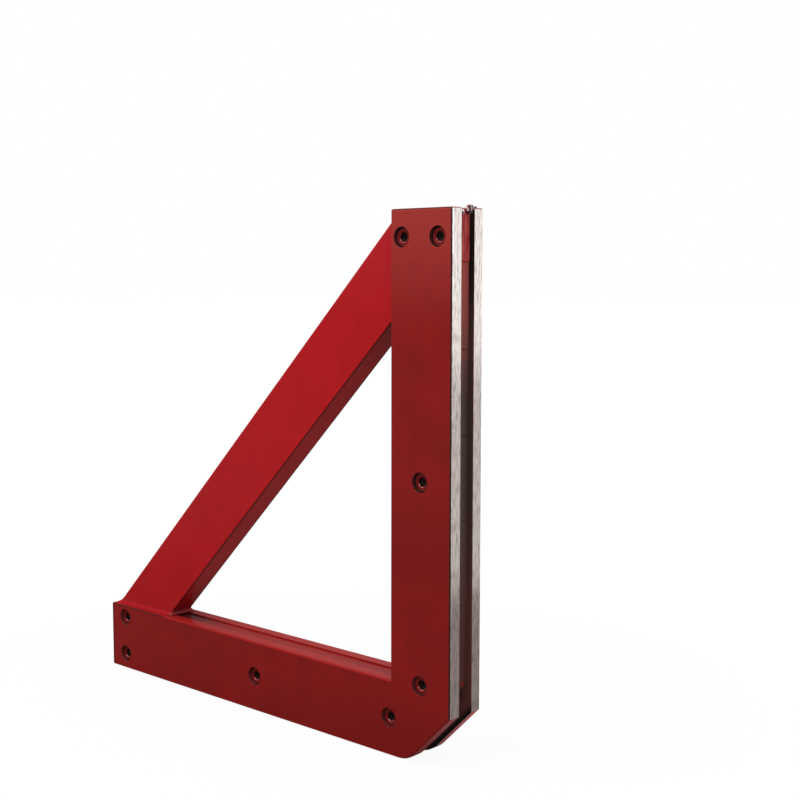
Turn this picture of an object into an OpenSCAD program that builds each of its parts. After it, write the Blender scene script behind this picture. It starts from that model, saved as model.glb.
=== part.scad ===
// Welding magnet: a right-angled holder for steel parts that are to be welded.
// Two L-shaped side plates are the poles of the magnets that are clamped between them.
// A diagonal bar braces the two legs and serves as the handle.

/* [Side plates] */
// Length of each leg, from the working corner to the leg's end
leg_length = 300; // [240:5:400]
// Width of each leg, from the working face to the inner edge
leg_width = 43; // [38:1:60]
// Thickness of one side plate
plate_thickness = 8; // [8:0.5:12]
// Gap between the two side plates
plate_gap = 10; // [8:1:16]
// Cut across the working corner, measured along each working face
corner_cut = 30; // [24:1:36]
// Radius where the corner cut runs into the bottom face
corner_cut_radius = 18; // [6:1:20]
// Radius of the plates' corners at the ends of the legs
plate_corner_radius = 1.5; // [0.5:0.25:3]
// Chamfer along the edges of the plates' outer faces
plate_chamfer = 1; // [0.4:0.1:1.4]

/* [Brace] */
// Width of the diagonal bar, seen from the front
brace_width = 38; // [25:1:50]
// Thickness of the diagonal bar
brace_thickness = 16; // [13:0.5:18]
// Distance from a leg's end to the outer edge of the bar
brace_setback = 3; // [2:0.5:20]
// Chamfer along the edges of the bar
brace_chamfer = 0.4; // [0.2:0.1:2]

/* [Brace welds] */
// Radius of the hollow welds along the bar's front and back
side_weld_radius = 3; // [1.5:0.25:3]
// Reach of the flat weld on the bar's outer edge
outer_weld_reach = 1.6; // [1:0.2:3]
// Reach of the flat weld on the bar's inner edge
inner_weld_reach = 3.5; // [2:0.5:10]

/* [Between the plates] */
// Distance by which the magnets sit back from the working face
magnet_recess = 3.5; // [1:0.25:5]
// Number of magnets in each leg
magnet_count = 5; // [2:1:8]
// Room between the magnets and the screws beside them
magnet_screw_clearance = 1; // [0.5:0.25:3]
// Glue line at the end of each magnet
glue_line = 0.3; // [0.1:0.1:0.8]
// Length of the block at the end of each leg
end_block_length = 26; // [24:1:40]
// Distance by which the end block sits back from the working face
end_block_recess = 3; // [1:0.25:5]
// Width of the closing bar along the inner edge
closing_bar_width = 10; // [6:1:11]
// Distance by which the closing bar sits back from the inner edge
closing_bar_recess = 0.8; // [0.4:0.1:3]
// Depth of the groove that the weld at the leg's end fills
end_weld_depth = 2; // [1:0.25:4]
// Height of the crown of that weld
end_weld_crown = 1.5; // [0.4:0.1:1.8]

/* [Screws] */
// Nominal diameter of the cap screws
screw_diameter = 6; // [5:0.5:6.5]
// Diameter of the screw heads
head_diameter = 10; // [9:0.5:11]
// Height of the screw heads
head_height = 4; // [3:0.25:4.5]
// Chamfer round the top of the screw heads
head_chamfer = 0.5; // [0.2:0.1:0.8]
// Width across the flats of the hexagon socket
socket_width = 5; // [3:0.5:6]
// Depth of the hexagon socket
socket_depth = 2; // [1:0.25:2]
// Depth of the 45 degree countersink round the socket's mouth
socket_countersink = 0.5; // [0.4:0.05:0.7]
// Diameter of the pilot recess below the socket
pilot_diameter = 2.6; // [1.5:0.1:2.8]
// Depth of the pilot recess below the socket
pilot_depth = 1; // [0.4:0.1:1.4]
// Depth of the screw heads' tops below the plate's face
head_recess = 2; // [0.5:0.25:2.5]
// Room round a screw head in its counterbore, across the diameter
head_clearance = 1; // [0.4:0.1:2]
// Room round a screw in a plain hole, across the diameter
shank_clearance = 0.6; // [0.2:0.1:1]
// Room round a screw in the rear plate, across the diameter, where the real thread is
thread_clearance = 0.2; // [0.1:0.05:0.4]
// Distance from the leg's end to its pair of end screws
end_screw_inset = 15; // [12:0.5:18]
// Distance from the working face to the outer end screw
outer_screw_inset = 10; // [9:0.5:12]
// Distance from the inner edge to the inner end screw
inner_screw_inset = 8; // [7.5:0.5:12]
// Distance from the working corner to the middle screw
middle_screw_distance = 155; // [100:1:190]
// Distance from the working corner to the corner screw
corner_screw_distance = 44; // [42:1:60]

/* [Hidden] */
magnet_numbers = [1 : magnet_count];
$fn = 48;

// Cutting tools run this far past the faces that they cut
over = 1;
total_thickness = 2 * plate_thickness + plate_gap;
gap_front = -plate_gap / 2;
// The corner cut and the brace both run at this angle to the legs
cross_angle = 45;

// Places along a leg, measured from the working corner
end_block_top = leg_length - end_weld_depth;
end_block_bottom = end_block_top - end_block_length;
magnet_start = leg_width;
magnet_pitch = (end_block_bottom - magnet_start) / magnet_count;

// Places across a leg, measured from the working face
leg_centre = leg_width / 2;
inner_limit = leg_width - closing_bar_recess;
magnet_inner_limit = leg_centre - screw_diameter / 2 - magnet_screw_clearance;

// Screw places in one leg: distance from the working face, then from the working corner
end_screw_height = leg_length - end_screw_inset;
end_screw_places = [
    [outer_screw_inset, end_screw_height],
    [leg_width - inner_screw_inset, end_screw_height]
];
single_screw_places = [
    [leg_centre, middle_screw_distance],
    [leg_centre, corner_screw_distance]
];
screw_places = concat(end_screw_places, single_screw_places);
counterbore_depth = head_recess + head_height;
countersink_reach = socket_countersink + over;

// The brace's outer edge meets each leg's inner edge at brace_outer, and its inner edge at brace_inner
brace_outer = leg_length - brace_setback;
brace_inner = brace_outer - brace_width * sqrt(2);
brace_run = (brace_outer - leg_width) * sqrt(2);
ledge = (total_thickness - brace_thickness) / 2 - plate_chamfer;
side_weld = min(side_weld_radius, ledge);

paint_red = [0.60, 0.10, 0.11];
magnet_brown = [0.20, 0.16, 0.15];

function direction(angle) = [cos(angle), sin(angle)];

// Stands a front view up: a shape drawn in X and Z gets its thickness along +Y
module from_front(thickness) {
    translate([0, thickness, 0])
        rotate([90, 0, 0])
            linear_extrude(thickness)
                children();
}

// Lays a side view along the object: a shape drawn in Y and Z gets its length along +X
module from_side(length) {
    rotate([90, 0, 90])
        linear_extrude(length)
            children();
}

// The horizontal leg is the mirror image of the vertical leg about the 45 degree line
module horizontal() {
    mirror([1, 0, 1]) children();
}

module both_legs() {
    children();
    horizontal() children();
}

// Drawings have their origin at the working corner, and this puts it at the object's right-hand edge
module in_place() {
    translate([leg_length / 2, 0, 0]) children();
}

// An arc in a corner touches two lines that leave the corner at two angles, this far from the corner
function fillet_reach(angle_1, angle_2, radius) = radius / tan((angle_2 - angle_1) / 2);

function fillet_centre(corner, angle_1, angle_2, radius) =
    corner + radius / sin((angle_2 - angle_1) / 2) * direction((angle_1 + angle_2) / 2);

// The field between the corner, both points of touch and the arc's centre.
// It reaches back by root, so that it overlaps the shape that it grows from.
module fillet_field(corner, angle_1, angle_2, radius, root) {
    touch_1 = corner + fillet_reach(angle_1, angle_2, radius) * direction(angle_1);
    touch_2 = corner + fillet_reach(angle_1, angle_2, radius) * direction(angle_2);
    centre = fillet_centre(corner, angle_1, angle_2, radius);
    polygon([corner + root, touch_1 + root, touch_1, centre, touch_2, touch_2 + root]);
}

// What lies between the corner and the arc
module fillet_2d(corner, angle_1, angle_2, radius, root) {
    difference() {
        fillet_field(corner, angle_1, angle_2, radius, root);
        translate(fillet_centre(corner, angle_1, angle_2, radius)) circle(radius);
    }
}

// Triangle whose long side, the weld's face, reaches equally far along both lines.
// The face runs on into the steel at both ends, and root puts the third corner there too.
module flat_weld_2d(corner, angle_1, angle_2, reach, root) {
    toe_1 = corner + reach * direction(angle_1);
    toe_2 = corner + reach * direction(angle_2);
    run_on = over * (toe_2 - toe_1) / norm(toe_2 - toe_1);
    polygon([corner + root, toe_1 - run_on, toe_2 + run_on]);
}

// Section of a plate's leg, with both outer edges chamfered
function chamfered_strip(length) = [
    [plate_chamfer, 0],
    [length - plate_chamfer, 0],
    [length, plate_chamfer],
    [length, plate_thickness],
    [0, plate_thickness],
    [0, plate_chamfer]
];

function swapped(points) = [for (p = points) [p.y, p.x]];

// Upright leg of a plate, with its outer face at Y = 0
module plate_leg() {
    intersection() {
        from_front(plate_thickness)
            translate([-leg_width + plate_corner_radius, plate_corner_radius])
                rounded_rectangle(leg_width - 2 * plate_corner_radius, leg_length - 2 * plate_corner_radius);
        translate([-leg_width, 0, 0]) linear_extrude(leg_length) polygon(chamfered_strip(leg_width));
        translate([-leg_width, 0, 0]) from_side(leg_width) polygon(swapped(chamfered_strip(leg_length)));
    }
}

module rounded_rectangle(width, height) {
    union() {
        translate([-plate_corner_radius, 0]) square([width + 2 * plate_corner_radius, height]);
        translate([0, -plate_corner_radius]) square([width, height + 2 * plate_corner_radius]);
        for (x = [0, width], y = [0, height]) translate([x, y]) circle(plate_corner_radius);
    }
}

// The 45 degree cut across the working corner, with the round at its lower end
module corner_cutter() {
    translate([0, -over, 0]) from_front(plate_thickness + 2 * over) {
        polygon([[-corner_cut, 0], [0, corner_cut], [over, corner_cut], [over, -over], [-corner_cut, -over]]);
        fillet_2d([-corner_cut, 0], cross_angle, 180, corner_cut_radius, [over, 0]);
    }
    corner_cut_chamfer();
    corner_round_chamfer();
}

// Chamfer along the straight part of the corner cut
module corner_cut_chamfer() {
    translate([-corner_cut, 0, 0])
        rotate([0, -cross_angle, 0])
            from_side(corner_cut * sqrt(2) + over)
                polygon([[-over, -over], [plate_chamfer + over, -over], [-over, plate_chamfer + over]]);
}

// Chamfer along the round at the lower end of the corner cut
module corner_round_chamfer() {
    corner = [-corner_cut, 0];
    centre = fillet_centre(corner, cross_angle, 180, corner_cut_radius);
    intersection() {
        from_front(plate_chamfer) fillet_field(corner, cross_angle, 180, corner_cut_radius, [over, 0]);
        translate([centre.x, 0, centre.y])
            rotate([-90, 0, 0])
                difference() {
                    cylinder(h = plate_chamfer, r = corner_cut_radius + over);
                    cylinder(h = plate_chamfer, r1 = corner_cut_radius - plate_chamfer, r2 = corner_cut_radius);
                }
    }
}

// Plate without its holes, with its outer face at Y = 0 and the gap on its +Y side
module plate_blank() {
    difference() {
        both_legs() plate_leg();
        corner_cutter();
    }
}

// Puts a copy at each screw, with +Z pointing into the plate from its outer face
module at_screws(places) {
    both_legs()
        for (p = places)
            translate([-p.x, 0, p.y])
                rotate([-90, 0, 0])
                    children();
}

module front_plate() {
    color(paint_red) in_place() translate([0, -total_thickness / 2, 0])
        difference() {
            plate_blank();
            at_screws(screw_places) {
                translate([0, 0, -over])
                    cylinder(h = counterbore_depth + over, d = head_diameter + head_clearance);
                cylinder(h = plate_thickness + over, d = screw_diameter + shank_clearance);
            }
        }
}

module rear_plate() {
    color(paint_red) in_place() mirror([0, 1, 0]) translate([0, -total_thickness / 2, 0])
        difference() {
            plate_blank();
            at_screws(screw_places)
                translate([0, 0, -over])
                    cylinder(h = plate_thickness + 2 * over, d = screw_diameter + thread_clearance);
        }
}

// One cap screw, with the top of its head at Z = 0 and its shank along +Z
module cap_screw(shank_length) {
    difference() {
        union() {
            cylinder(h = head_chamfer, d1 = head_diameter - 2 * head_chamfer, d2 = head_diameter);
            translate([0, 0, head_chamfer]) cylinder(h = head_height - head_chamfer, d = head_diameter);
            cylinder(h = head_height + shank_length, d = screw_diameter);
        }
        translate([0, 0, -over])
            cylinder(h = socket_depth + over, d = socket_width / cos(30), $fn = 6);
        cylinder(h = socket_depth + pilot_depth, d = pilot_diameter);
        translate([0, 0, -over])
            cylinder(h = countersink_reach, d1 = socket_width + 2 * countersink_reach, d2 = socket_width);
    }
}

// The shanks end flush with the back of the rear plate
module cap_screws() {
    color("firebrick") in_place() translate([0, -total_thickness / 2 + head_recess, 0])
        at_screws(screw_places) cap_screw(total_thickness - counterbore_depth);
}

// Section of the brace, centred on the plates' gap, with its outer edge at the top
function brace_section() =
    let (y = brace_thickness / 2, z = brace_width, c = brace_chamfer) [
        [-y, -c], [-y + c, 0], [y - c, 0], [y, -c],
        [y, -z + c], [y - c, -z], [-y + c, -z], [-y, -z + c]
    ];

// The bar is cut to stand on the inner edges of both legs
module brace_bar() {
    intersection() {
        translate([-brace_outer, 0, leg_width])
            rotate([0, -cross_angle, 0])
                translate([-brace_width, 0, 0])
                    from_side(brace_run + 2 * brace_width) polygon(brace_section());
        translate([0, -brace_thickness, 0])
            from_front(2 * brace_thickness)
                polygon([
                    [-leg_length, leg_width],
                    [-leg_width, leg_width],
                    [-leg_width, leg_length],
                    [-leg_length, leg_length]
                ]);
    }
}

module diagonal_brace() {
    color(paint_red) in_place() brace_bar();
}

// Weld round the brace's foot on the horizontal leg: hollow in front and behind, flat at both edges.
// It is what two outlines of the foot and its welds, one from the front and one from the side, share.
module foot_weld() {
    height = max(side_weld, max(inner_weld_reach, outer_weld_reach) * sin(cross_angle));
    half_thickness = brace_thickness / 2;
    span = half_thickness + side_weld;
    difference() {
        intersection() {
            translate([0, -span, 0]) from_front(2 * span) {
                polygon([
                    [-brace_outer, leg_width],
                    [-brace_inner, leg_width],
                    [-brace_inner + height, leg_width + height],
                    [-brace_outer + height, leg_width + height]
                ]);
                flat_weld_2d([-brace_outer, leg_width], cross_angle, 180, outer_weld_reach, [over, 0]);
                flat_weld_2d([-brace_inner, leg_width], 0, cross_angle, inner_weld_reach, [-over, 0]);
            }
            translate([-leg_length, 0, 0]) from_side(leg_length) {
                translate([-half_thickness, leg_width]) square([brace_thickness, height]);
                fillet_2d([half_thickness, leg_width], 0, 90, side_weld, [-over, 0]);
                fillet_2d([-half_thickness, leg_width], 90, 180, side_weld, [over, 0]);
            }
        }
        brace_bar();
    }
}

module lower_brace_weld() {
    color(paint_red) in_place() foot_weld();
}

module upper_brace_weld() {
    color(paint_red) in_place() horizontal() foot_weld();
}

module end_block() {
    difference() {
        translate([-inner_limit, gap_front, end_block_bottom])
            cube([inner_limit - end_block_recess, plate_gap, end_block_length]);
        for (p = end_screw_places)
            translate([-p.x, gap_front - over, p.y])
                rotate([-90, 0, 0])
                    cylinder(h = plate_gap + 2 * over, d = screw_diameter + shank_clearance);
    }
}

module vertical_end_block() {
    color(paint_red) in_place() end_block();
}

module horizontal_end_block() {
    color(paint_red) in_place() horizontal() end_block();
}

// Crowned bead on top of the end block, whose crown comes level with the end of the leg
module end_weld() {
    half_gap = plate_gap / 2;
    crown_radius = (half_gap * half_gap + end_weld_crown * end_weld_crown) / (2 * end_weld_crown);
    translate([-inner_limit, 0, 0])
        from_side(inner_limit - end_block_recess)
            intersection() {
                translate([gap_front, end_block_top]) square([plate_gap, end_weld_depth]);
                translate([0, leg_length - crown_radius]) circle(crown_radius);
            }
}

module vertical_end_weld() {
    color(paint_red) in_place() end_weld();
}

module horizontal_end_weld() {
    color(paint_red) in_place() horizontal() end_weld();
}

// Square bar from the inner corner, where it is mitred, to the end block
module closing_bar() {
    outer_limit = inner_limit - closing_bar_width;
    translate([0, gap_front, 0])
        from_front(plate_gap)
            polygon([
                [-inner_limit, inner_limit],
                [-outer_limit, outer_limit],
                [-outer_limit, end_block_bottom],
                [-inner_limit, end_block_bottom]
            ]);
}

module vertical_closing_bar() {
    color(paint_red) in_place() closing_bar();
}

module horizontal_closing_bar() {
    color(paint_red) in_place() horizontal() closing_bar();
}

// Magnet number 1 is the one nearest to the working corner
module magnet(number) {
    translate([-magnet_inner_limit, gap_front, magnet_start + (number - 1) * magnet_pitch])
        cube([magnet_inner_limit - magnet_recess, plate_gap, magnet_pitch - glue_line]);
}

module vertical_magnet(number) {
    color(magnet_brown) in_place() magnet(number);
}

module horizontal_magnet(number) {
    color(magnet_brown) in_place() horizontal() magnet(number);
}

front_plate();
rear_plate();
diagonal_brace();
upper_brace_weld();
lower_brace_weld();
vertical_end_block();
horizontal_end_block();
vertical_end_weld();
horizontal_end_weld();
vertical_closing_bar();
horizontal_closing_bar();
cap_screws();
for (i = magnet_numbers) {
    vertical_magnet(i);
    horizontal_magnet(i);
}
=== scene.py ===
# %% [markdown]
# # A welding magnet, dressed for its portrait
#
# The exact solids come from the CAD model. They are right in shape and size, but every edge is razor
# sharp and every surface is bare. This script gives them what a workshop gives the real thing: rounded
# painted edges, uneven weld beads, brushed steel where the plates were ground, and a studio around them.
#
# The first cell loads the solids. Lengths are written in millimetres and turned into metres by MM.

# %% Load the solids
import math
import random

import bpy
from mathutils import Matrix, Vector


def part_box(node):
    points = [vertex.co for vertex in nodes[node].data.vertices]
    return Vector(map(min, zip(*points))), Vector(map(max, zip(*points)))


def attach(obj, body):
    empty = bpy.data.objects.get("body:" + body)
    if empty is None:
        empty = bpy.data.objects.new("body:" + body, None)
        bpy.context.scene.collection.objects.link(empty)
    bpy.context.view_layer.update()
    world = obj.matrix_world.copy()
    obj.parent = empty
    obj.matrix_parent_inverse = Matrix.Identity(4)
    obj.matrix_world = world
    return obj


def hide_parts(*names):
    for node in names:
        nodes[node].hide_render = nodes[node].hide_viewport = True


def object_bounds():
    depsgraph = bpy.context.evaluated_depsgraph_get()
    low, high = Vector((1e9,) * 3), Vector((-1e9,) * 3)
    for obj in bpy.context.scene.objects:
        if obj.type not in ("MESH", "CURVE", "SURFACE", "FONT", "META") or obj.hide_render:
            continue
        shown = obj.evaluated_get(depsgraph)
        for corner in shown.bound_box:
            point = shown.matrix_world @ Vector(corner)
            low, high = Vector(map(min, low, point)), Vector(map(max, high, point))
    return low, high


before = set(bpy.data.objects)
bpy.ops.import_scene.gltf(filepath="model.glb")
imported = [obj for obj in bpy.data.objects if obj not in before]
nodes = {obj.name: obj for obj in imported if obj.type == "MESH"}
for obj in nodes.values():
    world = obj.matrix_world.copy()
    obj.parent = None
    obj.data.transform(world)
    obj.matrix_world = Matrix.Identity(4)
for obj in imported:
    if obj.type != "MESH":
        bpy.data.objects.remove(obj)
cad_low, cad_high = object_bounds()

MM = 0.001
size = [round((high - low) / MM, 1) for low, high in zip(cad_low, cad_high)]
print("solids:", len(nodes), "size in mm:", size)

# %% [markdown]
# ## The camera
#
# A camera was fitted to the straight edges that the photograph shows. It stands to the right of the
# object and looks back at it from a little above. Its place and its three turns could be set by eye, but
# a fitted camera lets the render be compared with the photograph point by point. The lens is given for a
# sensor 36 mm wide.

# %% Camera
CAMERA_PLACE = Vector((579.4463, -529.7828, 264.0981)) * MM
CAMERA_TURN = 0.7329
CAMERA_TILT = 0.0943
CAMERA_ROLL = 0.0014
FOCAL_PIXELS = 1303.2272
IMAGE_PIXELS = 800
SENSOR = 36
NEAREST_SEEN = 10
FARTHEST_SEEN = 20000

camera_data = bpy.data.cameras.new("camera")
camera = bpy.data.objects.new("camera", camera_data)
bpy.context.scene.collection.objects.link(camera)
bpy.context.scene.camera = camera
camera_data.sensor_width = SENSOR
camera_data.lens = FOCAL_PIXELS / IMAGE_PIXELS * SENSOR
camera_data.clip_start = NEAREST_SEEN * MM
camera_data.clip_end = FARTHEST_SEEN * MM
camera.location = CAMERA_PLACE
turn = Matrix.Rotation(CAMERA_TURN, 4, "Z")
tilt = Matrix.Rotation(math.pi / 2 - CAMERA_TILT, 4, "X")
roll = Matrix.Rotation(CAMERA_ROLL, 4, "Z")
camera.rotation_euler = (turn @ tilt @ roll).to_euler()
print("lens in mm:", round(camera_data.lens, 2))

# %% [markdown]
# ## Sums with sockets
#
# Blender's shaders do sums with Math nodes. Once a socket is wrapped in a small class, it can stand in
# an ordinary expression, and each operator adds the node that it stands for. Colours are blended with
# Mix nodes, because a Math node would turn them grey. Every other node comes from one method.

# %% A socket that does sums
class Socket:
    """A node's output that can be used in sums. One without an output is the start of a new tree."""

    def __init__(self, tree, output=None):
        self.tree = tree
        self.output = output

    def node(self, kind, settings=None, inputs=None, result=0):
        """Adds a node: its settings first, then a value or a link for each named or numbered socket."""
        new = self.tree.nodes.new(kind)
        for name, setting in (settings or {}).items():
            setattr(new, name, setting)
        for name, value in (inputs or {}).items():
            if isinstance(value, Socket):
                self.tree.links.new(value.output, new.inputs[name])
            else:
                new.inputs[name].default_value = value
        return Socket(self.tree, new.outputs[result] if new.outputs else None)

    def math(self, operation, first, second=0.0):
        """Adds a Math node, on which all the operators below are built."""
        return self.node("ShaderNodeMath", {"operation": operation}, {0: first, 1: second})

    def __add__(self, other):
        return self.math("ADD", self, other)

    def __sub__(self, other):
        return self.math("SUBTRACT", self, other)

    def __rsub__(self, other):
        return self.math("SUBTRACT", other, self)

    def __mul__(self, other):
        return self.math("MULTIPLY", self, other)

    def __abs__(self):
        return self.math("ABSOLUTE", self)

    __radd__ = __add__
    __rmul__ = __mul__

    def larger(self, other):
        return self.math("MAXIMUM", self, other)

    def smaller(self, other):
        return self.math("MINIMUM", self, other)

    def ramp(self, low, high, most=1.0):
        """Rises smoothly from 0 at low to the most at high. It falls where low is the higher number."""
        smooth = {"interpolation_type": "SMOOTHSTEP"}
        return self.node("ShaderNodeMapRange", smooth, {0: self, 1: low, 2: high, 4: most})

    def mix(self, colour_0, colour_1):
        """Blends two colours: the first where this value is 0, the second where it is 1."""
        blended = {0: self, 6: colour_0, 7: colour_1}
        return self.node("ShaderNodeMix", {"data_type": "RGBA"}, blended, result=2)

    def measure(self, operation, *vectors):
        """One number from vectors: a length, a distance or a dot product."""
        inputs = dict(enumerate(vectors))
        return self.node("ShaderNodeVectorMath", {"operation": operation}, inputs, result="Value")

    def split(self):
        """The X, Y and Z of a vector."""
        outputs = self.node("ShaderNodeSeparateXYZ", {}, {0: self}).output.node.outputs
        return [Socket(self.tree, outputs[axis]) for axis in "XYZ"]

    def noise(self, size, detail=2.0, roughness=0.5):
        """Cloudy noise around 0.5, with lumps about this size. This socket is the place in space."""
        return self.node("ShaderNodeTexNoise", {}, {
            "Vector": self, "Scale": 1 / size, "Detail": detail, "Roughness": roughness,
        })

    def shift(self, amount):
        """Noise as a shift of up to half this amount either way, which makes a border uneven."""
        return self * amount - amount / 2


print("a socket can also do:", ", ".join(name for name in vars(Socket) if name[0] != "_"))

# %% [markdown]
# ## What all finishes share
#
# Paint, ground steel and ferrite start and end alike. Each has to know where on the object a point lies,
# and each ends in one shader with a fine bump, because no real surface is quite flat. The place is taken
# in the object's own frame, not the room's, so a finish stays on its piece when the piece is moved.

# %% Start and end of a finish
def start_finish(name):
    """Makes a material, and returns it with the place of each point in mm, in the object's own frame."""
    material = bpy.data.materials.new(name)
    material.use_nodes = True
    material.node_tree.nodes.clear()
    place = Socket(material.node_tree).node("ShaderNodeTexCoord", result="Object")
    return material, place.node("ShaderNodeVectorMath", {"operation": "SCALE"}, {0: place, "Scale": 1 / MM})


def end_finish(place, sockets, height, height_mm):
    """Joins the shader's sockets and a bump of this height, in mm, to the material's output."""
    bump = place.node("ShaderNodeBump", {}, {"Strength": 1.0, "Distance": height_mm * MM, "Height": height})
    shader = place.node("ShaderNodeBsdfPrincipled", {}, dict(sockets, Normal=bump))
    place.node("ShaderNodeOutputMaterial", {}, {"Surface": shader})


print("finishes measure in mm, of which a metre has", round(1 / MM))

# %% [markdown]
# ## Where the faces lie
#
# Most finishes here are drawn by place: steel is bare within a hair of a working face, and resin covers
# the walls of the slot. So the script has to know where the faces are. It reads that from the boxes
# round the solids, because a number that is typed twice sooner or later disagrees with itself.

# %% Sizes from the frame
front_low, front_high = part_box("front_plate")
magnet_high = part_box("vertical_magnet_1")[1]
screws_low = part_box("cap_screws")[0]
brace_low, brace_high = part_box("diagonal_brace")
LEG_WIDTH = brace_low.z / MM
HALF_BRACE = brace_high.y / MM
WORKING_X = front_high.x / MM
WORKING_Z = front_low.z / MM
OUTER_Y = -front_low.y / MM
TOP_Z = front_high.z / MM
END_X = front_low.x / MM
SLOT_SIDE = magnet_high.y / MM
SLANT = math.sqrt(0.5)
print("working face at X =", round(WORKING_X, 2), "slot side at Y =", round(SLOT_SIDE, 2))

# %% [markdown]
# ## Paint on the brace
#
# The brace is a flat bar with a full, glossy coat of red. It is slightly cloudy and has a fine orange
# peel, and its upper end is paler, a painted sheen. On its lower face the dark primer shows along the
# corners, the same dark brown is painted shade near the foot, and the welds at its feet are a little
# duller. The clouds are noise between two reds, and the peel is a bump of a few hundredths of a
# millimetre. The primer and the shade are blended in by place, which keeps them exactly on their edge.
#
# Numbers that are named for a zone tell where a mask is 0 and where it has reached its most, which is
# the third number, or 1.

# %% Brace paint
BRACE_RED = (0.35, 0.0040, 0.0068, 1)
BRACE_SHADE = (0.31, 0.0040, 0.0062, 1)
BRACE_SHEEN = (0.35, 0.0120, 0.0160, 1)
FILLET_RED = (0.31, 0.0085, 0.0130, 1)
# Dark brown of the primer, also used as painted shade
PRIMER_AND_SHADE = (0.030, 0.0100, 0.0085, 1)
PAINT_GLOSS = 0.13
BRACE_WIDTH = 38
LOWER_FACE = (brace_low.x - brace_low.z) / MM * SLANT + BRACE_WIDTH
UPPER_END = (228, 300)
# Nearer to a face than this, a place counts as lying on it
SKIN = (0.35, 0.15)
BARE_CORNER = (1.5, 1.1, 0.8)
PAST_WELD = (LEG_WIDTH + 2, LEG_WIDTH + 5)
# Painted shade on the lower face, growing towards the foot
FOOT_SHADE = (LEG_WIDTH + 36, LEG_WIDTH + 4, 0.35)
BRACE_CLOUDS = (0.3, 0.75)


def make_brace_paint():
    """Glossy red, with primer along the corners of the lower face, painted shade near the foot and a painted
    sheen at the upper end.
    """
    material, place = start_finish("brace_paint")
    x, y, z = place.split()
    clouds = place.noise(size=18, detail=3)
    peel = place.noise(size=1.6, detail=1)
    coat = clouds.ramp(*BRACE_CLOUDS).mix(BRACE_RED, BRACE_SHADE)
    # Painted sheen: the upper end is paler and lighter
    coat = z.ramp(*UPPER_END).mix(coat, BRACE_SHEEN)
    past_weld = z.smaller(WORKING_X - x).ramp(*PAST_WELD)
    lower_face = (LOWER_FACE - (x - z) * SLANT).ramp(*SKIN)
    corner = lower_face * (HALF_BRACE - abs(y)).ramp(*BARE_CORNER) * past_weld
    # Painted shade: the lower face darkens towards the foot
    foot_shade = lower_face * z.ramp(*FOOT_SHADE)
    end_finish(place, {
        "Base Color": corner.larger(foot_shade).mix(past_weld.mix(FILLET_RED, coat), PRIMER_AND_SHADE),
        "Roughness": 0.20 + 0.08 * clouds,
        "Specular IOR Level": PAINT_GLOSS,
    }, peel, height_mm=0.025)
    return material


brace_paint = make_brace_paint()
print(brace_paint.name, "has", len(brace_paint.node_tree.nodes), "nodes")

# %% [markdown]
# ## Paint on the end blocks
#
# The block between the plates at the end of each leg has thin paint with runs in it, as the spray gun
# left it in the narrow gap. Its pale, pinkish red is partly a painted reflection of the light from above.
# Runs could be modelled, but a finger would hardly feel them. So they are noise, drawn out: where the
# place is squeezed along the leg, each lump of the noise becomes a streak.

# %% Block paint
# Pale pink: the block's red with a painted reflection in it
BLOCK_RED_AND_SHEEN = (0.50, 0.085, 0.078, 1)
BLOCK_SHADE = (0.26, 0.018, 0.016, 1)
RUNS = (0.8, 0.09, 5.0)
RUN_SIDES = (0.35, 0.65)


def streaks(place, pattern, detail, roughness=0.5):
    """Noise drawn out along the legs. A pattern has lumps per mm across, the same along, and a layer."""
    x, y, z = place.split()
    across, along, layer = pattern
    squeezed = place.node("ShaderNodeCombineXYZ", {}, {0: y * across, 1: (x + z) * along, 2: layer})
    return squeezed.noise(size=1.0, detail=detail, roughness=roughness)


def make_block_paint():
    """Thin red paint with runs in it, its pale pink partly a painted reflection."""
    material, place = start_finish("block_paint")
    runs = streaks(place, RUNS, detail=2)
    peel = place.noise(size=1.3, detail=2)
    end_finish(place, {
        "Base Color": runs.ramp(*RUN_SIDES).mix(BLOCK_RED_AND_SHEEN, BLOCK_SHADE),
        "Roughness": 0.35 + 0.1 * peel,
        "Specular IOR Level": PAINT_GLOSS,
    }, runs * 3 + peel, height_mm=0.05)
    return material


block_paint = make_block_paint()
print(block_paint.name, "has", len(block_paint.node_tree.nodes), "nodes")

# %% [markdown]
# ## Plates: the thin red coat
#
# The coat on the two plates is thinner than the one on the brace, so the primer below turns it brown in
# clouds, and it is browner in a dull band up the vertical leg. The clouds fade out towards the far end of
# the horizontal leg, as painted light there, and the brown near the working corner is painted shade. The
# upper end is paler and lighter, a painted sheen. Each of these is a mask made of the place, and the
# largest one wins. A painted picture could show the same, but here each zone stays a few numbers that
# can be tuned by themselves.

# %% Coat of the plates
PLATE_RED = (0.213, 0.0060, 0.0054, 1)
PLATE_BROWN = (0.165, 0.0060, 0.0050, 1)
# Painted sheen: the upper end paler and lighter
TOP_SHEEN = (0.260, 0.0250, 0.0210, 1)
PLATE_CLOUDS = (0.25, 0.75)
# Painted light: the clouds fade out towards the far end
CLOUDS_FADE_AT_LIT_END = (-150, -60)
DULL_BAND = (60, 118, 180)
# Painted shade near the working corner, low down
CORNER_SHADE_ALONG = (-20, 120)
CORNER_SHADE_UP = (60, 10)


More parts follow.
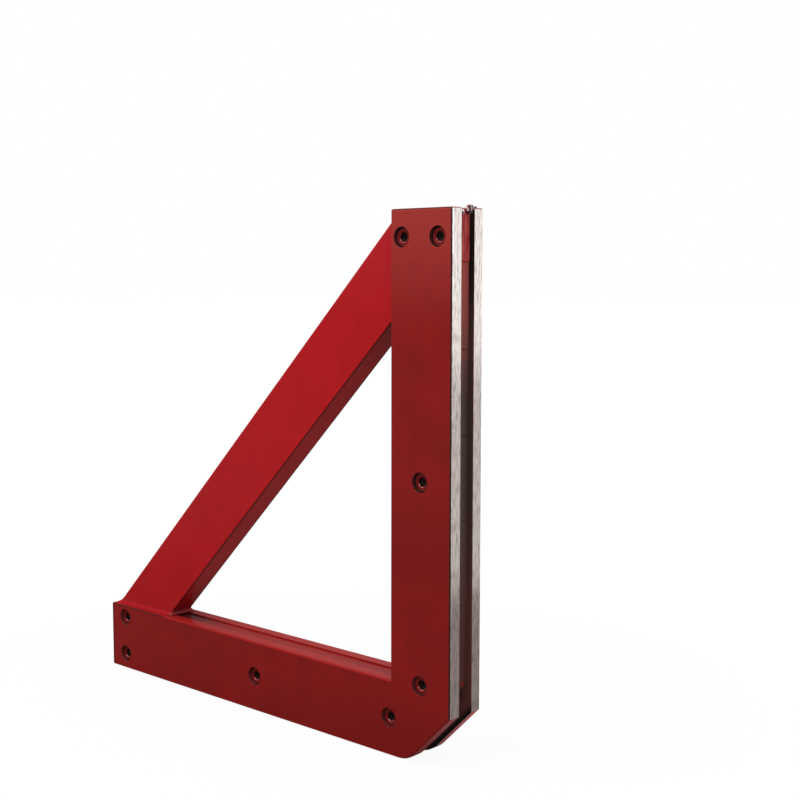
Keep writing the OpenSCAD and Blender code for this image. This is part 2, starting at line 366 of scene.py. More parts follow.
def plate_coat(clouds, x, z):
    """The red of the plates, browner in clouds and a band, with painted shade near the corner, painted light
    at the far end and a painted sheen on top.
    """
    band_start, band_middle, band_end = DULL_BAND
    dull = z.ramp(band_start, band_middle) * z.ramp(band_end, band_middle)
    # Painted shade: browner near the working corner, low down
    corner_shade = x.ramp(*CORNER_SHADE_ALONG) * z.ramp(*CORNER_SHADE_UP)
    brown = (clouds.ramp(*PLATE_CLOUDS) * x.ramp(*CLOUDS_FADE_AT_LIT_END)).larger(dull).larger(corner_shade)
    # The upper end takes the painted sheen
    return z.ramp(*UPPER_END).mix(brown.mix(PLATE_RED, PLATE_BROWN), TOP_SHEEN)


print("dull band from Z =", DULL_BAND[0], "to", DULL_BAND[2])

# %% [markdown]
# ## Plates: faces and edges with a red of their own
#
# A few faces and edges differ from the rest. The cut across the working corner is pale, the more so on
# the rear plate. The ledge along the inner edge is bright beside the brace and brown inside the frame.
# The bevel along the bottom is a light red, a painted highlight of the light it catches from the floor,
# and the edge at the end of the horizontal leg is dark. Each face could have a material of its own, but
# the edges between them are rounded, and a mask follows the round.

# %% Cut, ledge, bevel and far end
CUT_FRONT = (0.36, 0.055, 0.052, 1)
CUT_REAR = (0.66, 0.125, 0.122, 1)
LEDGE_RED = (0.345, 0.0090, 0.0120, 1)
LEDGE_BROWN = (0.265, 0.0110, 0.0100, 1)
# Painted highlight on the bevel along the bottom
BEVEL_HIGHLIGHT = (0.62, 0.0200, 0.0260, 1)
END_RED = (0.105, 0.0012, 0.0016, 1)
BEVEL = 1.0
BEVEL_Y = OUTER_Y - BEVEL
CORNER_CUT = 30
FOOT_INNER_X = -93
BESIDE_BRACE = (FOOT_INNER_X + 5, FOOT_INNER_X - 5)
LEDGE = (LEG_WIDTH - 0.9, LEG_WIDTH - 0.6)
OUTER_FACE = (BEVEL_Y - 0.1, BEVEL_Y + 0.05)
LOW_BEVEL = (WORKING_Z + BEVEL + 0.05, WORKING_Z + BEVEL - 0.1)
FAR_EDGE = (END_X + 3.2, END_X + 2.4, 0.8)


def depth_in_leg(x, z):
    """How far a place lies behind the nearer working face."""
    return (WORKING_X - x).smaller(z - WORKING_Z)


def depth_in_cut(x, z):
    """How far a place lies behind the cut across the working corner."""
    return (WORKING_X - x + z - WORKING_Z - CORNER_CUT) * SLANT


def low_bevel(y, z):
    """Is 1 on the bevel along the bottom of each plate."""
    return abs(y).ramp(*OUTER_FACE) * z.ramp(*LOW_BEVEL)


def paint_faces(coat, x, y, z):
    """The coat, with the faces and edges that differ laid over it."""
    cut = y.ramp(-SLOT_SIDE, SLOT_SIDE).mix(CUT_FRONT, CUT_REAR)
    ledge = x.ramp(*BESIDE_BRACE).mix(LEDGE_BROWN, LEDGE_RED)
    paint = depth_in_cut(x, z).ramp(*SKIN).mix(coat, cut)
    paint = depth_in_leg(x, z).ramp(*LEDGE).mix(paint, ledge)
    # The bottom bevel gets its painted highlight
    paint = low_bevel(y, z).mix(paint, BEVEL_HIGHLIGHT)
    far_edge = abs(y).ramp(*OUTER_FACE) * x.ramp(*FAR_EDGE)
    return far_edge.mix(paint, END_RED)


print("ledge", LEG_WIDTH, "mm behind the working face, corner cut", CORNER_CUT, "mm")

# %% [markdown]
# ## Plates: primer lines, painted shade and the dark slot
#
# Paint draws back from edges as it dries, so thin lines of primer show on the bevel beside the ground
# steel, along the top edge and beside the brace. In the groove beside the closing bar, near the brace's
# foot, the same dark is painted shade. Inside the slot the plates are dark brown from the resin that
# holds the magnets, with black painted shade towards the upper end and black painted shadow at the
# corner cut. All are masks again, because a line of a few tenths of a millimetre would need very fine
# faces.

# %% Lines of primer, and resin in the slot
SLOT_BROWN = (0.078, 0.040, 0.034, 1)
SLOT_LOW = (0.125, 0.044, 0.038, 1)
# Near black, for soot and for painted shade
SOOT_AND_SHADE = (0.012, 0.010, 0.010, 1)
SLOT_DEPTH = 22
ON_BEVEL = (BEVEL_Y, BEVEL_Y + 0.15)
BESIDE_STEEL = (BEVEL + 0.1, BEVEL - 0.1)
TOP_EDGE = (TOP_Z - BEVEL, TOP_Z - BEVEL + 0.3, 0.75)
INNER_EDGE = (LEG_WIDTH - 1.1, LEG_WIDTH - 0.9, 0.8)
BAR_SIDE = (SLOT_SIDE + 0.3, SLOT_SIDE + 0.1)
BAR_DEPTH = (LEG_WIDTH - 1.5, LEG_WIDTH - 1.2)
BAR_ALONG = (-35, -90, 0.8)
WALL_SIDE = (SLOT_SIDE + 0.35, SLOT_SIDE + 0.15)
WALL_DEPTH = (SLOT_DEPTH + 2, SLOT_DEPTH)
CUT_SIDE = (SLOT_SIDE + 1.4, SLOT_SIDE + 1.0)
RESIN_REDDENS = (150, 70)
# Painted shade towards the upper end, painted shadow near the cut
SHADE_AT_TOP = (228, 270)
SHADOW_AT_CUT = (4.5, 0.5)


def primer_and_shade_lines(x, y, z):
    """How strongly the dark shows: primer where paint has drawn back from an edge, painted shade in the
    groove by the foot.
    """
    depth = depth_in_leg(x, z)
    beside_steel = (WORKING_X - x).ramp(*BESIDE_STEEL)
    top_edge = z.ramp(*TOP_EDGE)
    inner_edge = depth.ramp(*INNER_EDGE) * x.ramp(*BESIDE_BRACE)
    on_bevel = abs(y).ramp(*ON_BEVEL) * beside_steel.larger(top_edge).larger(inner_edge)
    # Painted shade in the groove beside the closing bar, strongest at the brace's foot
    groove_shade = abs(y).ramp(*BAR_SIDE) * depth.ramp(*BAR_DEPTH) * x.ramp(*BAR_ALONG)
    return on_bevel.larger(groove_shade)


def resin_walls(paint, x, y, z):
    """The paint, with resin on the walls of the slot and on the edges of the cut beside it, and black
    painted shade at the top and near the cut.
    """
    from_cut = depth_in_cut(x, z)
    wall = abs(y).ramp(*WALL_SIDE) * depth_in_leg(x, z).ramp(*WALL_DEPTH)
    in_slot = wall.larger(from_cut.ramp(*SKIN) * abs(y).ramp(*CUT_SIDE))
    # Painted shade: black towards the upper end, and painted shadow near the corner cut
    black = z.ramp(*SHADE_AT_TOP).larger(from_cut.ramp(*SHADOW_AT_CUT))
    resin = black.mix(z.ramp(*RESIN_REDDENS).mix(SLOT_BROWN, SLOT_LOW), SOOT_AND_SHADE)
    return in_slot.mix(paint, resin)


print("resin reaches", SLOT_DEPTH, "mm into the slot")

# %% [markdown]
# ## Plates: ground steel, and the whole finish
#
# The working edges were ground after painting, so each plate is red with a bare band along its edge.
# Whatever lies within a hair of a working face is steel, with a ragged border of noise. The grinding
# marks run along the edge, so the noise that draws them is streaked that way. One finish for paint and
# steel is better than two, because their border then needs no edge in the mesh.

# %% Plate paint
STEEL_LIGHT = (0.92, 0.84, 0.80, 1)
STEEL_DARK = (0.52, 0.44, 0.42, 1)
SCRATCHES = (1.1, 0.15, 0.0)
SMEARS = (0.9, 0.09, 3.0)
DARK_MARKS = (0.53, 0.85)
BARE_DEPTH = 0.3
BARE = (BARE_DEPTH + 0.04, BARE_DEPTH - 0.04)
RAGGED = 0.3
CLEAR_OF_SLOT = (SLOT_SIDE + 0.3, SLOT_SIDE + 0.5)


def make_plate_paint():
    """The whole finish of a plate: paint, primer, resin and ground steel."""
    material, place = start_finish("plate_paint")
    x, y, z = place.split()
    clouds = place.noise(size=22, detail=4, roughness=0.6)
    peel = place.noise(size=1.3, detail=2)
    paint = paint_faces(plate_coat(clouds, x, z), x, y, z)
    paint = resin_walls(primer_and_shade_lines(x, y, z).mix(paint, PRIMER_AND_SHADE), x, y, z)

    scratches = streaks(place, SCRATCHES, detail=2)
    smears = streaks(place, SMEARS, detail=3, roughness=0.6)
    steel = (0.8 * scratches + 0.45 * smears).ramp(*DARK_MARKS).mix(STEEL_LIGHT, STEEL_DARK)
    ragged = place.noise(size=3.0, detail=4).shift(RAGGED)
    ground = abs(y).ramp(*CLEAR_OF_SLOT) * (1 - low_bevel(y, z))
    bare = (depth_in_leg(x, z) + ragged).ramp(*BARE) * ground
    end_finish(place, {
        "Base Color": bare.mix(paint, steel),
        "Metallic": bare,
        "Roughness": 0.28 + 0.06 * clouds - 0.17 * bare,
        "Specular IOR Level": PAINT_GLOSS,
    }, (1 - bare) * peel * 0.8 + bare * scratches * 0.3, height_mm=0.03)
    return material


plate_paint = make_plate_paint()
print(plate_paint.name, "has", len(plate_paint.node_tree.nodes), "nodes")

# %% [markdown]
# ## Magnets
#
# Ferrite is a dark, brown-black ceramic. The spray gun also caught the blocks nearest to the free end
# of the leg, so the red fades out down the slot. Low down, resin covers the blocks, and one splash of
# red sits near the corner. Painted shade darkens the blocks towards the rear plate in the middle of the
# slot, and over their lowest few millimetres beside the hollow corner. The blocks keep their CAD shape,
# since only one flat face of each shows, and get this finish in place of their plain colour.

# %% Ferrite with overspray
FERRITE = (0.088, 0.053, 0.047, 1)
RESIN = (0.070, 0.020, 0.017, 1)
OVERSPRAY = (0.36, 0.062, 0.050, 1)
SPRAYED = (200, 268, 0.9)
SPRAY_UNEVEN = 30
CLEAR_OF_RESIN = (60, 150)
# Painted shade in the middle of the slot, towards the rear plate
SHADED_BELOW = (250, 200)
SHADED_ABOVE = (80, 150, 0.5)
# Painted shade at the low end, beside the hollow corner
LOW_END_SHADE = (50, 43, 0.6)
SPLASH_PLACE = (146.5, 1.4, 45.7)
SPLASH_REACH = (2.6, 0.4, 0.7)
SPLASH_UNEVEN = 3
BARE_GLOSS = 0.3


def make_ferrite():
    """Brown-black ceramic, with resin low down, overspray high up, a splash of red, and painted shade
    towards the rear and at the low end.
    """
    material, place = start_finish("ferrite")
    y, z = place.split()[1:]
    grain = place.noise(size=0.6, detail=3)
    clouds = place.noise(size=9, detail=4)
    # Painted shade: darker towards the rear plate, in the middle of the slot
    shaded = y.ramp(-SLOT_SIDE, SLOT_SIDE) * z.ramp(*SHADED_BELOW) * z.ramp(*SHADED_ABOVE)
    block = z.ramp(*CLEAR_OF_RESIN).mix(RESIN, shaded.mix(FERRITE, SOOT_AND_SHADE))
    spray = (z + clouds.shift(SPRAY_UNEVEN)).ramp(*SPRAYED)
    # Painted shade on the lowest few millimetres of the blocks
    low_end_shade = z.ramp(*LOW_END_SHADE)
    off_splash = place.measure("DISTANCE", place, SPLASH_PLACE)
    splash = (off_splash + clouds.shift(SPLASH_UNEVEN)).ramp(*SPLASH_REACH)
    end_finish(place, {
        "Base Color": splash.mix(low_end_shade.mix(spray.mix(block, OVERSPRAY), SOOT_AND_SHADE), PLATE_RED),
        "Roughness": 0.45 + 0.2 * grain,
        "Specular IOR Level": BARE_GLOSS,
    }, grain, height_mm=0.03)
    return material


ferrite = make_ferrite()
for name, solid in nodes.items():
    if "magnet" in name:
        solid.data.materials.clear()
        solid.data.materials.append(ferrite)
print("magnets:", sum("magnet" in name for name in nodes))

# %% [markdown]
# ## Rounded, painted steel
#
# No edge of painted steel is perfectly sharp, and the thin gleam along each edge is what makes a picture
# believable. The CAD solids stay as they are, so each is copied, the copy's loose triangles are merged
# into faces, and a narrow bevel rounds its edges. A bevel node in the shader could fake the round, but
# it would be lost wherever the model is used without that shader.

# %% Copy a solid and round its edges
MERGE_WITHIN = 0.001
FLAT_ANGLE = 0.5
ROUND_ANGLE = 25
SMOOTH_ANGLE = 40


def select_only(piece):
    """Selects one piece and makes it active, because most operators work on those two."""
    bpy.ops.object.select_all(action="DESELECT")
    piece.select_set(True)
    bpy.context.view_layer.objects.active = piece


def copy_solid(node, name):
    """Copies a CAD solid to a new piece. Its mesh is loose triangles, so their corners are merged."""
    piece = bpy.data.objects.new(name, nodes[node].data.copy())
    bpy.context.scene.collection.objects.link(piece)
    piece.data.materials.clear()
    select_only(piece)
    bpy.ops.object.mode_set(mode="EDIT")
    bpy.ops.mesh.select_all(action="SELECT")
    bpy.ops.mesh.remove_doubles(threshold=MERGE_WITHIN * MM)
    bpy.ops.mesh.dissolve_limited(angle_limit=math.radians(FLAT_ANGLE))
    bpy.ops.object.mode_set(mode="OBJECT")
    bpy.ops.mesh.customdata_custom_splitnormals_clear()
    return piece


def round_edges(piece, width):
    """Rounds every sharp edge, and shades the piece smooth where faces meet at a small angle."""
    bevel = piece.modifiers.new("round", "BEVEL")
    bevel.width = width * MM
    bevel.segments = 3
    bevel.limit_method = "ANGLE"
    bevel.angle_limit = math.radians(ROUND_ANGLE)
    bevel.harden_normals = True
    select_only(piece)
    bpy.ops.object.shade_smooth_by_angle(angle=math.radians(SMOOTH_ANGLE))
    bpy.ops.object.modifier_apply(modifier=bevel.name)


print("edges over", ROUND_ANGLE, "degrees are rounded")

# %% Plates, brace, end blocks and closing bars
def dress(piece, node, slot, *finishes):
    """Gives a piece its finishes, hangs it under the root body and hides the solid it stands for."""
    for finish in finishes:
        piece.data.materials.append(finish)
    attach(piece, "root")
    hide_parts(node)


painted = {}
for node, finish, width in [
    ("front_plate", plate_paint, 0.35),
    ("rear_plate", plate_paint, 0.35),
    ("diagonal_brace", brace_paint, 0.4),
    ("vertical_end_block", block_paint, 0.3),
    ("horizontal_end_block", block_paint, 0.3),
    ("vertical_closing_bar", plate_paint, 0.3),
    ("horizontal_closing_bar", plate_paint, 0.3),
]:
    piece = copy_solid(node, node + "_painted")
    before = len(piece.data.polygons)
    round_edges(piece, width)
    dress(piece, node, "painted_steel", finish)
    painted[node] = piece
    print(node, before, "->", len(piece.data.polygons), "faces")

# %% [markdown]
# ## Cap screws: paint, painted shade and painted highlight
#
# The paint covers the screw heads too, darker than on the plates as painted shade in the counterbores,
# but hardly reaches into their hexagon sockets, which stay dark. The rim of the head and the side of the
# socket's mouth that looks up get a paler red, a painted highlight. The walls of the counterbores are
# painted shade, redder on the horizontal leg and browner high up. All four are the same plain finish in
# other colours, so one function makes them.

# %% Finishes for the screws and their counterbores
SOCKET_BROWN = (0.022, 0.013, 0.012, 1)
# Painted shade on the counterbore walls
RECESS_RED = (0.105, 0.018, 0.017, 1)
RECESS_BROWN = (0.045, 0.013, 0.012, 1)
# Screw paint, darkened as painted shade
SHADED_SCREW_RED = (0.140, 0.0045, 0.0040, 1)
# Painted highlight on the head's rim and the socket's mouth
HIGHLIGHT_RED = (0.40, 0.070, 0.066, 1)
UP_THE_LEG = (60, 140)


def make_plain_finish(name, colour, high_colour=None, gloss=PAINT_GLOSS):
    """A plain finish of one colour, or with another colour up on the vertical leg, for paint, painted shade
    and painted highlight.
    """
    material, place = start_finish(name)
    z = place.split()[2]
    grain = place.noise(size=0.5, detail=3)
    end_finish(place, {
        "Base Color": z.ramp(*UP_THE_LEG).mix(colour, high_colour or colour),
        "Roughness": 0.4 + 0.2 * grain,
        "Specular IOR Level": gloss,
    }, grain, height_mm=0.02)
    return material


dark_socket = make_plain_finish("dark_socket", SOCKET_BROWN)
recess_shade = make_plain_finish("recess_shade", RECESS_RED, RECESS_BROWN)
shaded_screw_paint = make_plain_finish("shaded_screw_paint", SHADED_SCREW_RED)
painted_highlight = make_plain_finish("painted_highlight", HIGHLIGHT_RED, gloss=BARE_GLOSS)
print("thin paints:", dark_socket.name, recess_shade.name, shaded_screw_paint.name, painted_highlight.name)

# %% [markdown]
# ## Cap screws: one solid becomes eight pieces
#
# The CAD keeps the eight screws in one solid. Here each becomes a piece of its own, split off where the
# mesh falls apart. They could be modelled anew, but then they might not match the CAD. Sorting them by
# place gives each the same number every time.

# %% Separate and round the screws
SCREW_ROUND = 0.18

select_only(copy_solid("cap_screws", "cap_screws"))
bpy.ops.object.mode_set(mode="EDIT")
bpy.ops.mesh.select_all(action="SELECT")
bpy.ops.mesh.separate(type="LOOSE")
bpy.ops.object.mode_set(mode="OBJECT")


def place_of(screw):
    """The sum of a screw's corners, rounded, to sort by."""
    total = sum((corner.co for corner in screw.data.vertices), Vector())
    return tuple(round(value, 4) for value in total)


def axis_of(screw):
    """X and Z of a screw's axis, halfway between its sides."""
    xs = [corner.co.x / MM for corner in screw.data.vertices]
    zs = [corner.co.z / MM for corner in screw.data.vertices]
    return (min(xs) + max(xs)) / 2, (min(zs) + max(zs)) / 2


screws = sorted(bpy.context.selected_objects, key=place_of)
axes = [axis_of(screw) for screw in screws]
for number, screw in enumerate(screws, start=1):
    screw.name = f"cap_screw_{number}"
    round_edges(screw, SCREW_ROUND)
    dress(screw, "cap_screws", "painted_screws", shaded_screw_paint, dark_socket, painted_highlight)
print("screws:", len(screws), "axes in mm:", [(round(x, 1), round(z, 1)) for x, z in axes])

# %% [markdown]
# ## Cap screws: paint by face
#
# On a screw the borders between the paints are edges of the mesh, so each face can simply be given one
# of the piece's finishes. What a face is follows from how far it lies from the screw's axis and how deep
# below the head's top. The walls of the counterbores belong to the front plate and are found the same
# way.

# %% Faces of the heads, sockets and counterbores
HEAD_TOP_Y = screws_low.y / MM
SOCKET_REACH = 3.2
SOCKET_DEEPEST = 4.0
MOUTH_DEPTH = 0.55
HEAD_RIM = (4.25, 5.1)
LOOKS_UP = 0.35
RECESS_REACH = 5.55
RECESS_EDGE = 0.3
PAINTED, DARK, HIGHLIT = range(3)


def off_axis(middle, axis):
    """How far the middle of a face lies from a screw's axis."""
    return math.hypot(middle.x - axis[0], middle.z - axis[1])


def pick_finish(face, axis):
    """The number of a face's finish among those that the screw was dressed in."""
    middle = face.center / MM
    reach = off_axis(middle, axis)
    below_top = middle.y - HEAD_TOP_Y
    # Painted highlight on the head's rim and on mouth faces that look up
    if HEAD_RIM[0] < reach < HEAD_RIM[1] and below_top < MOUTH_DEPTH:
        return HIGHLIT
    if reach < SOCKET_REACH and below_top < MOUTH_DEPTH:
        return HIGHLIT if face.normal.z > LOOKS_UP else PAINTED
    return DARK if reach < SOCKET_REACH and below_top < SOCKET_DEEPEST else PAINTED


for screw, axis in zip(screws, axes):
    for face in screw.data.polygons:
        face.material_index = pick_finish(face, axis)

# The counterbore walls get painted shade
plate = painted["front_plate"].data
plate.materials.append(recess_shade)
recess_faces = 0
for face in plate.polygons:
    middle = face.center / MM
    nearest = min(off_axis(middle, axis) for axis in axes)
    if nearest < RECESS_REACH and middle.y > -OUTER_Y + RECESS_EDGE:
        face.material_index = DARK
        recess_faces += 1
print("dark faces in the counterbores:", recess_faces)

# %% [markdown]
# ## Weld beads
#
# A weld is a row of overlapping drops of molten metal. A bump or a sculpted tube could stand for it, but
# the real drops are lumps that change the outline. So a bead is modelled the way it forms: round drops of
# slightly different sizes are set along a line, melted together by a voxel remesh, and smoothed. Each
# bead is made once, and its twin is mirrored for the other leg. The mirror stands at 45 degrees: what
# was so far below the top is now so far from the other end.

# %% Drops that melt together
MIRROR = Matrix(((0, 0, -1, WORKING_X * MM), (0, 1, 0, 0), (-1, 0, 0, WORKING_X * MM), (0, 0, 0, 1)))
MELT_VOXEL = 0.3


def drop(middle, radii):
    """Adds a drop of metal: a ball, flattened and stretched to these three radii."""
    bpy.ops.mesh.primitive_uv_sphere_add(segments=20, ring_count=12, radius=MM, location=Vector(middle) * MM)
    ball = bpy.context.object
    bpy.ops.transform.resize(value=radii)
    bpy.ops.object.transform_apply(location=True, rotation=True, scale=True)
    return ball


def melt(balls, name, swell, rounds):
    """Joins the drops and solids, melts them into one skin, swells it and smooths it."""
    bpy.ops.object.select_all(action="DESELECT")
    for ball in balls:
        ball.select_set(True)
    bpy.context.view_layer.objects.active = balls[0]
    bpy.ops.object.join()
    bead = bpy.context.object
    bead.name = name
    remesh = bead.modifiers.new("melt", "REMESH")
    remesh.mode = "VOXEL"
    remesh.voxel_size = MELT_VOXEL * MM
    swelling = bead.modifiers.new("swell", "DISPLACE")
    swelling.strength = swell * MM
    swelling.mid_level = 0
    smooth = bead.modifiers.new("smooth", "SMOOTH")
    smooth.iterations = rounds
    for modifier in ("melt", "swell", "smooth"):
        bpy.ops.object.modifier_apply(modifier=modifier)
    bpy.ops.object.shade_smooth()
    return bead


def mirrored(bead, name):
    """Makes the bead's twin for the other leg. A mirror turns faces inside out, so they are flipped back."""
    twin = bpy.data.objects.new(name, bead.data.copy())
    bpy.context.scene.collection.objects.link(twin)
    twin.data.transform(MIRROR)
    twin.data.flip_normals()
    return twin


print("beads are melted with a voxel of", MELT_VOXEL, "mm")

# %% [markdown]
# ## Bare metal on the end welds
#
# Near the working face the end welds lost their paint, so they are bright there, with patches of soot,
# and more dark low on the lumps towards the rear as painted shade. The valley between the two rows of
# drops is still painted. A mask by place, broken up by noise, gives that in one finish. The bump is
# coarser than on paint, because weld metal is rough.

# %% Weld metal
WELD_SILVER = (0.62, 0.57, 0.54, 1)
BARE_WELD = 6.0
NEAR_FACE = (BARE_WELD + 1.5, BARE_WELD - 1.5)
VALLEY_Y = -0.6
OUT_OF_VALLEY = (1.2, 1.7)
OVER_VALLEY = (TOP_Z, TOP_Z + 0.6)
# Painted shade low on the lumps, towards the rear
SHADE_LOW_ON_LUMP = (TOP_Z + 1.6, TOP_Z + 0.4)
REAR_SIDE = (0, 2, 0.2)
WORN_LUMPS = (0.38, 0.5)
SOOT_PATCHES = (0.60, 0.70)


def make_weld_metal():
    """Bright, sooty metal near the working face, with painted shade low on the lumps, and paint elsewhere.
    """
    material, place = start_finish("weld_metal")
    x, y, z = place.split()
    lumps = place.noise(size=1.1, detail=3)
    off_valley = abs(y - VALLEY_Y).ramp(*OUT_OF_VALLEY).larger(z.ramp(*OVER_VALLEY))
    bright = depth_in_leg(x, z).ramp(*NEAR_FACE) * lumps.ramp(*WORN_LUMPS) * off_valley
    # Painted shade under the lumps, added to the soot
    shade_low_on_lump = z.ramp(*SHADE_LOW_ON_LUMP) * y.ramp(*REAR_SIDE)
    soot_and_shade = (place.noise(size=1.4, detail=2) + shade_low_on_lump).ramp(*SOOT_PATCHES)
    end_finish(place, {
        "Base Color": bright.mix(PLATE_BROWN, soot_and_shade.mix(WELD_SILVER, SOOT_AND_SHADE)),
        "Metallic": 0.25 * bright,
        "Roughness": 0.35,
        "Specular IOR Level": BARE_GLOSS,
    }, lumps, height_mm=0.25)
    return material


weld_metal = make_weld_metal()
print(weld_metal.name, "has", len(weld_metal.node_tree.nodes), "nodes")

# %% [markdown]
# ## End welds
#
# The weld over each end block is two rows of drops side by side, with a heap of larger drops at the
# working face. The rows are made by a loop, with sizes and places shaken a little by dice with a fixed
# seed, so that they fall the same every time. The heap was set drop by drop after the photograph.

# %% Beads of the end welds
END_SEED = 4
END_PITCH = 2.6
ROW_START = 2.5
ROW_END = 1.5
REAR_Y = 1.6
REAR_BELOW_TOP = 2.0
REAR_RADII = (2.4, 3.6)
REAR_HEIGHT = 1.7
FRONT_Y = -2.6
FRONT_BELOW_TOP = 2.2
FRONT_RADII = (2.3, 2.6, 1.4)
SHAKE = 0.4
HEIGHT_SHAKE = 0.2
HEAP = [
    # Past the working face, sideways and above the top, then the three radii
    ((-3.4, 3.6, -0.8), (2.2, 2.6, 1.2)),
    ((-1.9, 3.8, 0.3), (1.6, 2.4, 1.9)),
    ((-2.3, 3.4, -1.4), (2.0, 3.0, 1.8)),
    ((-2.0, 6.8, 0.2), (1.6, 1.8, 1.2)),
    ((-1.3, -3.3, -2.5), (1.1, 1.2, 1.6)),
    ((-3.2, -3.2, -2.0), (1.8, 1.8, 1.2)),
    ((-3.0, -0.5, -1.6), (2.0, 2.0, 1.4)),
]

end_low, end_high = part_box("vertical_end_weld")
dice = random.Random(END_SEED)
drops = []
along = end_low.x / MM + ROW_START
while along < end_high.x / MM - ROW_END:
    rear_y = REAR_Y + dice.uniform(-SHAKE, SHAKE)
    height = REAR_HEIGHT + dice.uniform(-HEIGHT_SHAKE, HEIGHT_SHAKE)
    front_y = FRONT_Y + dice.uniform(-SHAKE, SHAKE)
    drops.append(drop((along, rear_y, TOP_Z - REAR_BELOW_TOP), (*REAR_RADII, height)))
    drops.append(drop((along, front_y, TOP_Z - FRONT_BELOW_TOP), FRONT_RADII))
    along += END_PITCH
for (past_face, sideways, above_top), radii in HEAP:
    drops.append(drop((WORKING_X + past_face, sideways, TOP_Z + above_top), radii))
end_bead = melt(drops, "vertical_end_weld_bead", swell=0.05, rounds=2)
other_bead = mirrored(end_bead, "horizontal_end_weld_bead")
dress(end_bead, "vertical_end_weld", "painted_steel", weld_metal)
dress(other_bead, "horizontal_end_weld", "painted_steel", weld_metal)
print("end weld:", len(drops), "drops,", len(end_bead.data.polygons), "faces")

# %% [markdown]
# ## Welds at the feet of the brace
#
# Here the CAD solid already has the hollow runs along the front and back of the bar. What it lacks is
# the row of drops across the bar's lower face. So the drops are melted together with a copy of the
# solid, and more rounds of smoothing leave only soft lumps, as under thick paint. The paint is the same
# as on the brace, so the bead has the brace's finish.

# %% Beads at the feet
FOOT_SEED = 9
FOOT_PITCH = 2.0
HEEL_X = -92.8
HEEL_RISE = 0.6
HEEL_SHAKE = 0.2
HEEL_RADII = (2.4, 2.4)
HEEL_HEIGHT = 1.4
HEEL_HEIGHT_SHAKE = 0.1

dice = random.Random(FOOT_SEED)
drops = [copy_solid("lower_brace_weld", "lower_brace_weld_bead")]
side = -HALF_BRACE
while side <= HALF_BRACE:
    heel_x = HEEL_X + dice.uniform(-HEEL_SHAKE, HEEL_SHAKE)
    height = HEEL_HEIGHT + dice.uniform(-HEEL_HEIGHT_SHAKE, HEEL_HEIGHT_SHAKE)
    drops.append(drop((heel_x, side, LEG_WIDTH + HEEL_RISE), (*HEEL_RADII, height)))
    side += FOOT_PITCH
foot_bead = melt(drops, "lower_brace_weld_bead", swell=0.1, rounds=6)
head_bead = mirrored(foot_bead, "upper_brace_weld_bead")
dress(foot_bead, "lower_brace_weld", "painted_steel", brace_paint)
dress(head_bead, "upper_brace_weld", "painted_steel", brace_paint)
print("foot weld:", len(drops) - 1, "drops,", len(foot_bead.data.polygons), "faces")

# %% [markdown]
# ## Photo room
#
# The object stands on a pale floor in a white photo room, like a picture in a catalogue. White paper
# hangs behind it and to its right, and the room is dim in front and to its left. Gloss and steel show
# both. Walls could be built, but a background that tells rays apart is simpler: the camera sees white,
# mirrors see paper and dim room, and all other rays find a plain, even light.

# %% Room
WHITE = (1, 1, 1, 1)
DIM_ROOM = (0.08, 0.08, 0.085, 1)
PAPER_SIDE = Vector((0.67, 0.74, 0.0))
PAPER_EDGE = (-0.3, 0.7)
ROOM_LIGHT = 0.58

scene = bpy.context.scene
scene.view_settings.view_transform = "Standard"
world = bpy.data.worlds.new("photo_room")
scene.world = world
world.use_nodes = True
world.node_tree.nodes.clear()


def light_path(start, kind):
    """Is 1 for rays of this kind."""
    return start.node("ShaderNodeLightPath", result=kind)


def mirrored_or_clear(start):
    """Is 1 for rays that a glossy or clear surface sends out."""
    return light_path(start, "Is Glossy Ray").larger(light_path(start, "Is Transmission Ray"))


room = Socket(world.node_tree)
direction = room.node("ShaderNodeTexCoord", result="Generated")
towards_paper = room.measure("DOT_PRODUCT", direction, PAPER_SIDE)
reflected = towards_paper.ramp(*PAPER_EDGE).mix(DIM_ROOM, WHITE)
shown = light_path(room, "Is Camera Ray").mix(reflected, WHITE)
background = room.node("ShaderNodeBackground", {}, {"Color": shown, "Strength": 1.0})
even_light = room.node("ShaderNodeBackground", {}, {"Color": WHITE, "Strength": ROOM_LIGHT})
seen = light_path(room, "Is Camera Ray").larger(mirrored_or_clear(room))
both = room.node("ShaderNodeMixShader", {}, {0: seen, 1: even_light, 2: background})
room.node("ShaderNodeOutputWorld", {}, {"Surface": both})
print("room nodes:", len(world.node_tree.nodes))

# %% [markdown]
# ## Floor
#
# The floor of a catalogue picture is white paper that hides where it ends. Real paper that white would
# need very strong lamps, and they would wash out the object. So the floor glows to the camera, fully
# far off and a little less near the object, where the rest is grey paper that catches the shadow. Gloss
# and steel see the floor dark close by and brighter farther out.

# %% Glowing floor
FLOOR_DROP = 0.2
FLOOR_SIZE = 24000
FLOOR_GREY = (0.34, 0.34, 0.34, 1)
FLOOR_MIRRORED = (0.19, 0.172, 0.168, 1)
FLOOR_GLOW = 1.07
NEAR_WHITENESS = 0.88
NEAR_REACH = (200, 700)
MIRRORED_RINGS = [(0.40, 470, 600), (0.06, 700, 1200), (0.54, 3000, 9000)]

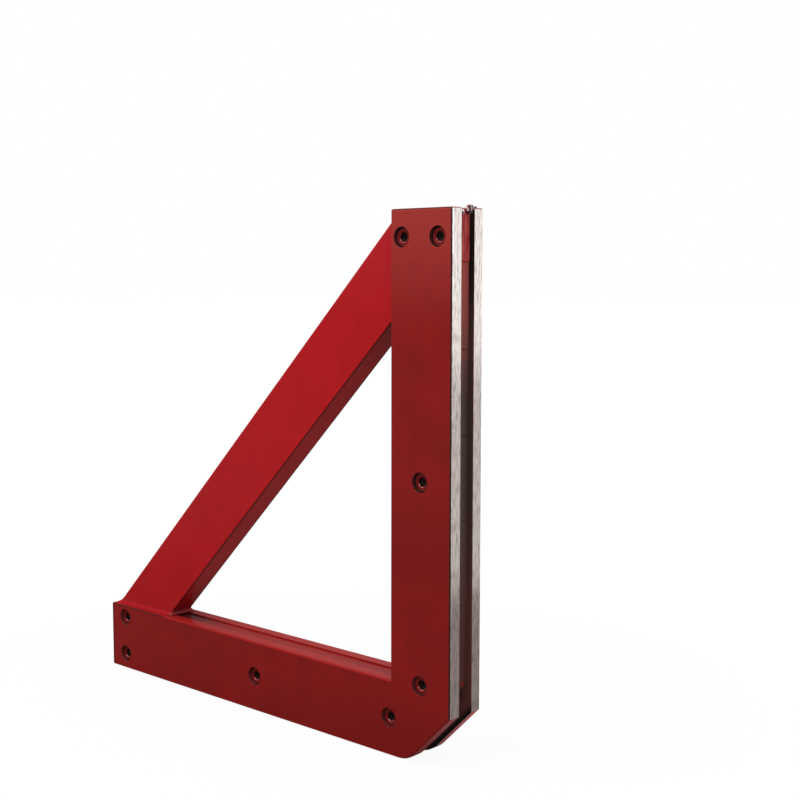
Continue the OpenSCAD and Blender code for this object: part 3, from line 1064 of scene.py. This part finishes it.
bpy.ops.object.select_all(action="DESELECT")
bpy.ops.mesh.primitive_plane_add(size=FLOOR_SIZE * MM, location=(0, 0, -FLOOR_DROP * MM))
floor = bpy.context.object
floor.name = "floor"
material, place = start_finish("pale_floor")
radius = place.measure("LENGTH", place)
far = sum(share * radius.ramp(start, end) for share, start, end in MIRRORED_RINGS)
near_white = NEAR_WHITENESS + (1 - NEAR_WHITENESS) * radius.ramp(*NEAR_REACH)
whiteness = (light_path(place, "Is Camera Ray") * near_white).larger(mirrored_or_clear(place) * far)
grey = mirrored_or_clear(place).mix(FLOOR_GREY, FLOOR_MIRRORED)
matte = place.node("ShaderNodeBsdfDiffuse", {}, {"Color": grey})
glow = place.node("ShaderNodeEmission", {}, {"Color": WHITE, "Strength": FLOOR_GLOW})
surface = place.node("ShaderNodeMixShader", {}, {0: whiteness, 1: matte, 2: glow})
place.node("ShaderNodeOutputMaterial", {}, {"Surface": surface})
floor.data.materials.append(material)
print("floor:", FLOOR_SIZE / 1000, "m wide,", FLOOR_DROP, "mm below the object")

# %% [markdown]
# ## Lamps
#
# The photograph has soft shadows and broad reflections, as large square softboxes give. One stands in
# front and above, one hangs overhead, and a weak one to the right lights the ground steel. An area lamp
# is the nearest thing in Blender. It shines along its own minus Z axis, so that axis is turned to aim.

# %% Softboxes
def softbox(name, place, aim, width, power):
    """Hangs a square lamp at a place, in mm, and turns it to its aim."""
    lamp_data = bpy.data.lights.new(name, "AREA")
    lamp_data.shape = "RECTANGLE"
    lamp_data.size = width * MM
    lamp_data.size_y = width * MM
    lamp_data.energy = power
    lamp = bpy.data.objects.new(name, lamp_data)
    scene.collection.objects.link(lamp)
    lamp.location = Vector(place) * MM
    lamp.rotation_euler = (Vector(aim) - Vector(place)).to_track_quat("-Z", "Y").to_euler()
    print(name, "softbox,", width, "mm wide,", power, "W")


softbox("key", (-60, -480, 820), aim=(100, 0, 260), width=600, power=6.5)
softbox("top", (100, 200, 1100), aim=(0, 0, 150), width=900, power=5)
softbox("right", (900, -300, 500), aim=(150, 0, 200), width=500, power=2.5)

# %% [markdown]
# ## Finish
#
# The new pieces reach a little past the solids, where weld drops stand proud.
